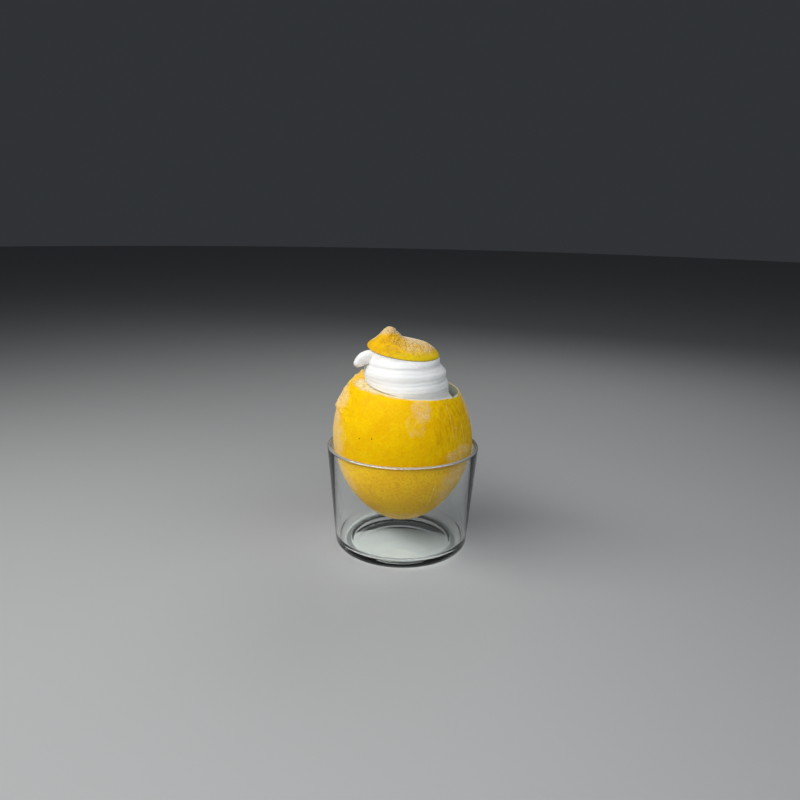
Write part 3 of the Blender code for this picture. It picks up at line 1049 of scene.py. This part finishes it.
# Place, height and reach: the fruit's tip, the swelling on the right, and the tip's flank
CAP_HILLS = (
    (-0.00927, 0.00072, 0.00659, 0.00574),
    (0.01281, 0.00179, 0.00154, 0.00735),
    (-0.00480, 0.00070, 0.00110, 0.00350),
)
CAP_RIM = 0.0010  # how far its edge stands up before the dome starts
CAP_TIP = Vector((-0.0093, 0.0007, 0.1220))
CAP_DENTS = ((0.00028, 0.0075, 12.0), (0.00022, 0.0030, 18.0))
WRINKLE_DEPTH = 0.00045
PIT_DEPTH = 0.00035
CAP_CRUST = 0.00022
CAP_SIDES = 260
CAP_RINGS = 110
CAP_UNDER_RINGS = 8


def cap_point(out, turn, risen):
    """A point of the cap, from its middle at out 0 to its edge at 1, on its skin or underside."""
    across = CAP_HALF_WIDTH * out * cos(turn)
    along = CAP_HALF_DEPTH * out * sin(turn)
    x = CAP_CENTRE + across * cos(CAP_TWIST) - along * sin(CAP_TWIST)
    y = across * sin(CAP_TWIST) + along * cos(CAP_TWIST)
    dome = CAP_DOME - CAP_RIM + sum(
        height * exp(-((x - right) ** 2 + (y - back) ** 2) / reach**2)
        for right, back, height, reach in CAP_HILLS
    )
    power, blunt = CAP_POWERS
    out = min(out, 1.0)
    rise = dome * (1.0 - out**power) ** blunt + CAP_RIM * (1.0 - out**CAP_RIM_POWER) ** 0.5
    return Vector((x, y, plane_height(CAP_PLANE, x, y) + rise * risen))


def cap_place(ring, turn):
    if ring < CAP_UNDER_RINGS:
        return cap_point(ring / CAP_UNDER_RINGS, turn, 0.0)
    over = CAP_RINGS - CAP_UNDER_RINGS
    return cap_point(sin(pi / 2 * (CAP_RINGS - ring) / over), turn, 1.0)


def cap_rise_share(point):
    """0 at the cap's lower edge and 1 well up its side."""
    return soft_step(point.z - plane_height(CAP_PLANE, point.x, point.y), 0.0006, 0.0042)


def cap_frost_and_rim_light(point, ring):
    """Amount of frost on the cap: most on the tip and behind, more on the right, none low down;
    the frost behind is partly painted rim light along the top outline.
    """
    right = soft_step(point.x, -0.012, 0.006)
    tip = 1.0 - soft_step((point - CAP_TIP).length, 0.0015, 0.0075)
    # Frost behind the crest, partly painted rim light along the top outline
    behind = soft_step(point.y, -0.004, 0.004)
    return cap_rise_share(point) * min(0.20 + 0.40 * right + 0.65 * tip + 0.65 * behind, 0.95)


def crease(point, ring):
    """1 deep in the wrinkles and 0 on their backs."""
    creased = soft_step(point.x, -0.014, -0.007) * (1.0 - 0.5 * soft_step(point.x, 0.004, 0.014))
    long_creases = soft_step(abs(lumps(point, 0.0055, 11.0)), 0.14, 0.0)
    short_creases = soft_step(abs(lumps(point, 0.0026, 19.0)), 0.16, 0.0)
    return creased * max(long_creases, 0.8 * short_creases)


def cap_relief(point, ring):
    if ring < CAP_UNDER_RINGS:
        return 0.0
    wrinkles = -WRINKLE_DEPTH * crease(point, ring)
    pits = -PIT_DEPTH * soft_step(lumps(point, 0.0019, 13.0), 0.20, 0.55)
    crust = CAP_CRUST * abs(lumps(point, 0.0011, 14.0)) * cap_frost_and_rim_light(point, ring)
    return cap_rise_share(point) * (wrinkles + layered(point, CAP_DENTS) + pits + crust)


# %% Cap material
CAP_PEEL = (0.90, 0.53, 0.003)
CAP_DEEP = (0.76, 0.41, 0.004)
# Painted shade, laid deep in the wrinkles
CAP_CREASE_SHADE = (0.42, 0.25, 0.02)
CAP_DRIED = (0.48, 0.31, 0.06)
CAP_PORE = (0.60, 0.36, 0.01)
CAP_GREEN = (0.82, 0.62, 0.004)
CAP_FROST = (0.66, 0.54, 0.37)
CAP_FROST_WHITE = (0.78, 0.71, 0.66)


def cap_peel():
    made, tree, shader, place = start_material("lemon_cap_peel")
    x = add_node(tree, "SeparateXYZ", {0: place}).outputs["X"]
    clouds = cloudy(tree, place, 0.006, detail=4.0)
    fine = cloudy(tree, place, 0.0013, detail=3.0)
    pores = pored(tree, place, 0.0012)
    cover, crystals = frosted(tree, place, painted(tree, "frost"))
    colour = tinted(
        tree, blend(tree, fade(tree, clouds, 0.38, 0.66), CAP_PEEL, CAP_DEEP),
        # Painted shade: dark brown deep in the creases
        (multiply(tree, painted(tree, "crease"), fade(tree, fine, 0.25, 0.55)), 0.70, CAP_CREASE_SHADE),
        (multiply(tree, fade(tree, x, -0.014, -0.004), fade(tree, fine, 0.46, 0.64)), 0.60, CAP_DRIED),
        (pores, 0.25, CAP_PORE),
        (painted(tree, "low_edge"), 0.75, CAP_GREEN),
        (cover, 0.62, CAP_FROST),
        (fade(tree, cover, 0.50, 0.95), 0.42, CAP_FROST_WHITE),
    )
    fill(shader, tree, {
        "Base Color": colour,
        "Roughness": fade(tree, cover, 0.0, 0.8, 0.50, 0.8),
        "Normal": peel_normal(tree, pores, fine, 0.8, crystals, 1.5, 0.45),
        "Specular IOR Level": 0.1,
        "Subsurface Weight": 0.10,
        "Subsurface Scale": 0.0012,
        "Sheen Weight": 0.05,
        "Sheen Tint": (1.0, 0.86, 0.76, 1.0),
        **PEEL_FINISH,
    })
    return made


def low_edge(point, ring):
    """1 along the clean lower edge, most of all in front and on the right."""
    return (1.0 - cap_rise_share(point)) * soft_step(point.x, -0.014, 0.004)


def make_cap():
    bm = rolled_sheet(CAP_RINGS, CAP_SIDES, cap_place)
    paint(bm, "crease", crease)
    paint(bm, "low_edge", low_edge)
    # This frost amount also holds the painted rim light behind the crest
    paint(bm, "frost", cap_frost_and_rim_light)
    raise_relief(bm, cap_relief)
    cap = add_piece("lemon_end", bm, cap_peel())
    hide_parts("lemon_cap")


make_cap()

# %% [markdown]
# ## Frost crystals
#
# Where the frost is thickest it is more than a colour: small crystals stand up, catch the light
# and roughen the outline. Each one is a squashed ball of twenty faces, a few tenths of a
# millimetre across, half sunk in the surface. They are scattered by drawing random places on the
# lemon and keeping one more often where there is more frost. The draws are seeded, so each run
# is alike.

# %% Crystals
CRYSTAL_TINTS = ((0.90, 0.72, 0.45), (0.94, 0.86, 0.76))
CRYSTAL_SIZES = (0.00006, 0.00020)
CRYSTAL_HEIGHTS = (0.060, 0.0975)  # the part of the shell that they may lie on
CRYSTALS_ON_SHELL = 3600
CRYSTALS_ON_CAP = 2200
BATCH = 80  # crystals are made in batches, since each new one takes longer in a fuller bmesh


def crystal_material():
    made, tree, shader, place = start_material("frost_crystal")
    fill(shader, tree, {
        "Base Color": blend(tree, cloudy(tree, place, 0.0015), *CRYSTAL_TINTS),
        "Roughness": 0.35,
        "IOR": 1.31,
        "Subsurface Weight": 0.4,
        "Subsurface Radius": (1.0, 0.9, 0.8),
        "Subsurface Scale": 0.0005,
    })
    return made


def add_crystal(bm, draw, place):
    size = draw.uniform(*CRYSTAL_SIZES)
    angle = draw.uniform(0, tau)
    axis = Vector([draw.uniform(-1, 1) for _ in range(3)]).normalized()
    turned = Matrix.Rotation(angle, 4, axis)
    squashed = Matrix.Diagonal((size, size * draw.uniform(0.5, 1.0), size * draw.uniform(0.5, 1.0), 1.0))
    matrix = Matrix.Translation(place) @ turned @ squashed
    bmesh.ops.create_icosphere(bm, subdivisions=1, radius=1.0, matrix=matrix)


def draw_on_shell(draw):
    """A random point on the shell, and the amount of frost there, painted sheen and reflection included.
    """
    turn = draw.uniform(-pi, pi)
    height = draw.uniform(*CRYSTAL_HEIGHTS)
    start, _, face_start, face_end, _, _ = edges_near(turn)
    if height < start.z:
        return skin_point(turn, height), skin_frost_and_painted_light(turn, height)
    return mix(face_start, face_end, draw.random()), 0.45


def draw_on_cap(draw):
    """A random point on the cap, and the amount of frost there, painted rim light included."""
    place = cap_point(sqrt(draw.random()), draw.uniform(-pi, pi), 1.0)
    return place, cap_frost_and_rim_light(place, 0)


def scatter(seed, count, draw_point):
    """A bmesh of crystals, kept more often where there is more frost."""
    draw = random.Random(seed)
    places = []
    while len(places) < count:
        place, amount = draw_point(draw)
        if draw.random() < soft_step(amount + 0.4 * lumps(place, 0.0045, 20.0), 0.45, 1.0):
            places.append(place)
    whole = bmesh.new()
    batch_mesh = bpy.data.meshes.new("batch")
    for first in range(0, count, BATCH):
        batch = bmesh.new()
        for place in places[first:first + BATCH]:
            add_crystal(batch, draw, place)
        batch.to_mesh(batch_mesh)
        batch.free()
        whole.from_mesh(batch_mesh)
    bpy.data.meshes.remove(batch_mesh)
    return whole


crystal_finish = crystal_material()
add_piece("shell_crystals", scatter(4, CRYSTALS_ON_SHELL, draw_on_shell), crystal_finish)
add_piece("cap_crystals", scatter(9, CRYSTALS_ON_CAP, draw_on_cap), crystal_finish)

# %% [markdown]
# ## Floor and light
#
# The floor is plain and pale. Two long soft strips light the object from close by, a strong one
# on the left and a weaker one on the right, so the floor falls dark behind it by itself and the
# white sorbet stands out. A third lamp behind catches the frost along the outline. Nothing
# mirrors or bends that one, because it would draw bright arcs round the tumbler's foot.

# %% Floor
FLOOR_RADIUS = 3.0
FLOOR_COLOUR = (0.41, 0.42, 0.43, 1.0)


def make_floor():
    bm = bmesh.new()
    bmesh.ops.create_circle(bm, cap_ends=True, segments=96, radius=FLOOR_RADIUS)
    made, tree, shader, _ = start_material("floor")
    fill(shader, tree, {"Base Color": FLOOR_COLOUR, "Roughness": 0.6, "Specular IOR Level": 0.2})
    floor = add_mesh("floor", bm, made)


make_floor()


# %% Lights
LAMP_AIM = Vector((0.0, 0.0, 0.06))
# Angle round from the front, angle up, distance, width, height, watts and colour
LAMPS = {
    "left_strip": (-51, 46, 0.50, 0.70, 0.16, 2.7, (1.0, 0.985, 0.96)),
    "right_strip": (43, 45, 0.50, 0.70, 0.16, 0.85, (0.90, 0.95, 1.0)),
    "back": (158, 38, 0.60, 0.36, 0.20, 0.7, (1.0, 0.97, 0.94)),
}
ROOM_COLOUR = (0.5, 0.55, 0.6, 1.0)
ROOM_STRENGTH = 0.06


def add_lamp(name, around, up, away, width, height, watts, colour):
    """An area lamp at an angle round the object from the front, turned to face it."""
    azimuth, lift = radians(around), radians(up)
    flat = cos(lift)
    to_lamp = Vector((sin(azimuth) * flat, -cos(azimuth) * flat, sin(lift)))
    facing = to_lamp.to_track_quat("Z", "Y").to_matrix().to_4x4()
    data = bpy.data.lights.new(name, "AREA")
    data.shape = "RECTANGLE"
    data.size, data.size_y = width, height
    data.energy = watts
    data.color = colour
    lamp = add_object(name, data)
    lamp.matrix_world = Matrix.Translation(LAMP_AIM + to_lamp * away) @ facing
    lamp.visible_camera = False
    return lamp


def light_scene():
    lamps = {name: add_lamp(name, *given) for name, given in LAMPS.items()}
    lamps["back"].visible_glossy = lamps["back"].visible_transmission = False
    world = bpy.data.worlds.new("room")
    world.use_nodes = True
    background = world.node_tree.nodes["Background"]
    fill(background, world.node_tree, {"Color": ROOM_COLOUR, "Strength": ROOM_STRENGTH})
    scene = bpy.context.scene
    scene.world = world
    scene.view_settings.view_transform = "Standard"
    scene.view_settings.look = "None"


light_scene()
